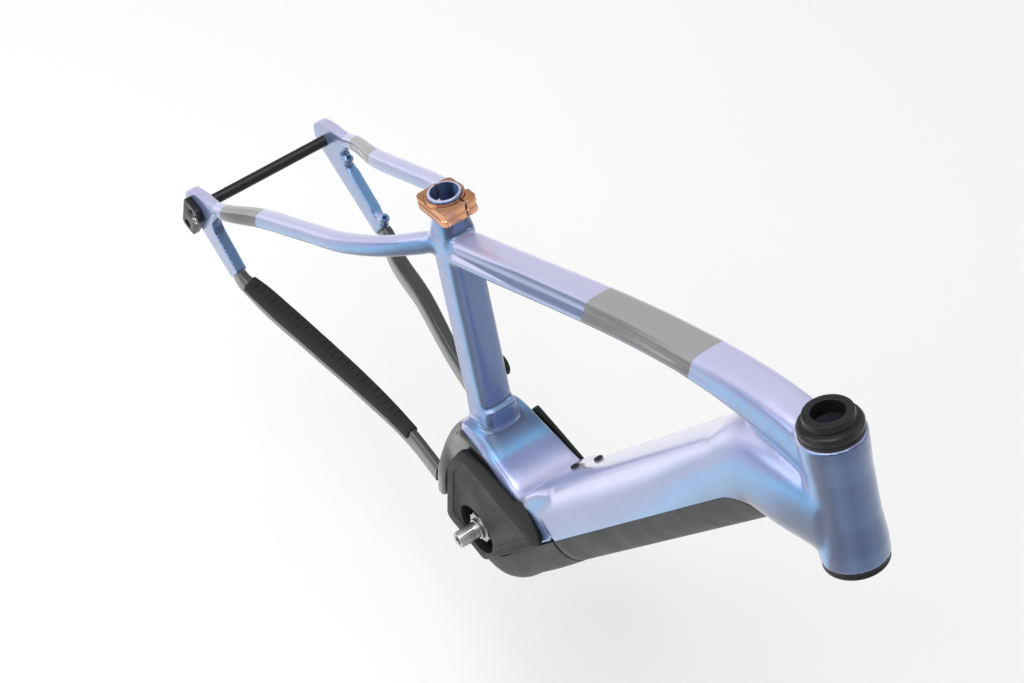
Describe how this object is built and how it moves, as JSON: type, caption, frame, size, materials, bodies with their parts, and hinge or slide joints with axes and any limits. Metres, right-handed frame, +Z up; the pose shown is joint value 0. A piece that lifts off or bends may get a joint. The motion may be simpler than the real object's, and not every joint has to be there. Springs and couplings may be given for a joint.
{
  "type": "electric mountain bike frame",
  "caption": "Welded hardtail frame with a deep down tube holding a hinged battery, a drive unit under a bracket, headset, seat clamp and rear thru axle.",
  "frame": {"origin": "middle of the crank axis", "axes": "+X forward, +Y to the rider's left, +Z up"},
  "size_m": [0.9384, 0.1873, 0.7315],
  "materials": {
    "frame_paint": "iridescent lavender to blue gloss paint",
    "stay_paint": "dark grey satin paint",
    "cover_plastic": "grey moulded plastic",
    "motor_plastic": "black moulded plastic",
    "motor_casting": "cast, satin",
    "clamp_copper": "polished, copper coloured anodising",
    "steel": "plain",
    "black_alloy": "black anodised",
    "bare_alloy": "plain",
    "rubber": "matt black"
  },
  "bodies": {
    "frame": {"battery_pivot": "steel", "battery_socket": "motor_plastic", "bottle_bolt_lower": "black_alloy", "bottle_bolt_upper": "black_alloy", "chainstay_guard": "rubber", "chainstay_left": "stay_paint", "chainstay_right": "stay_paint", "charge_socket": "black_alloy", "clamp_bolt_lower": "steel", "clamp_bolt_upper": "steel", "derailleur_hanger": "black_alloy", "down_tube": "frame_paint", "drive_unit": "motor_casting", "dropout_left": "frame_paint", "dropout_right": "frame_paint", "hanger_bolt": "steel", "head_tube": "frame_paint", "lock_body": "motor_casting", "lower_bearing": "steel", "lower_headset_cup": "black_alloy", "motor_bolt_front_left": "steel", "motor_bolt_front_right": "steel", "motor_bolt_rear_left": "steel", "motor_bolt_rear_right": "steel", "motor_bracket": "frame_paint", "motor_cover_left": "motor_plastic", "motor_cover_right": "motor_plastic", "seat_clamp": "clamp_copper", "seat_tube": "frame_paint", "seatstay_left": "frame_paint", "seatstay_right": "frame_paint", "skid_plate": "cover_plastic", "spindle_bearing_left": "steel", "spindle_bearing_right": "steel", "top_tube": "frame_paint", "upper_bearing": "steel", "upper_headset_cup": "black_alloy"},
    "crank": {"crank_spindle": "steel", "output_hub": "steel"},
    "headset_top": {"headset_cover": "black_alloy", "compression_ring": "bare_alloy"},
    "fork_race": {"crown_race": "black_alloy"},
    "battery": {"battery_pack": "motor_plastic", "battery_cover": "cover_plastic"},
    "key_cylinder": {"lock_cylinder": "bare_alloy", "lock_cam": "steel"},
    "charge_flap": {"charge_cap": "rubber"},
    "rear_axle": {"thru_axle": "black_alloy"}
  },
  "joints": [
    {"name": "crank_spin", "type": "hinge", "parent": "frame", "child": "crank", "pos_m": [0, 0, 0], "axis": [0, 1, 0], "continuous": true},
    {"name": "upper_steer", "type": "hinge", "parent": "frame", "child": "headset_top", "pos_m": [0.383, 0, 0.6275], "axis": [-0.4067, 0, 0.9135], "range_deg": [-80, 80]},
    {"name": "lower_steer", "type": "hinge", "parent": "frame", "child": "fork_race", "pos_m": [0.43262, 0, 0.51605], "axis": [-0.4067, 0, 0.9135], "range_deg": [-80, 80]},
    {"name": "battery_swing", "type": "hinge", "parent": "frame", "child": "battery", "pos_m": [0.12759, 0, 0.103], "axis": [0, 1, 0], "range_deg": [0, 18]},
    {"name": "key_turn", "type": "hinge", "parent": "frame", "child": "key_cylinder", "pos_m": [0.31808, 0, 0.49994], "axis": [0, -1, 0], "range_deg": [0, 90]},
    {"name": "charge_flap_hinge", "type": "hinge", "parent": "frame", "child": "charge_flap", "pos_m": [-0.06506, 0.0207, 0.171], "axis": [0.9511, 0, 0.309], "range_deg": [0, 110]},
    {"name": "axle_withdraw", "type": "slide", "parent": "frame", "child": "rear_axle", "axis": [0, 1, 0], "range_m": [0, 0.18]}
  ],
  "couplings": [
    {"joint": "lower_steer", "follows": "upper_steer", "ratio": 1}
  ]
}
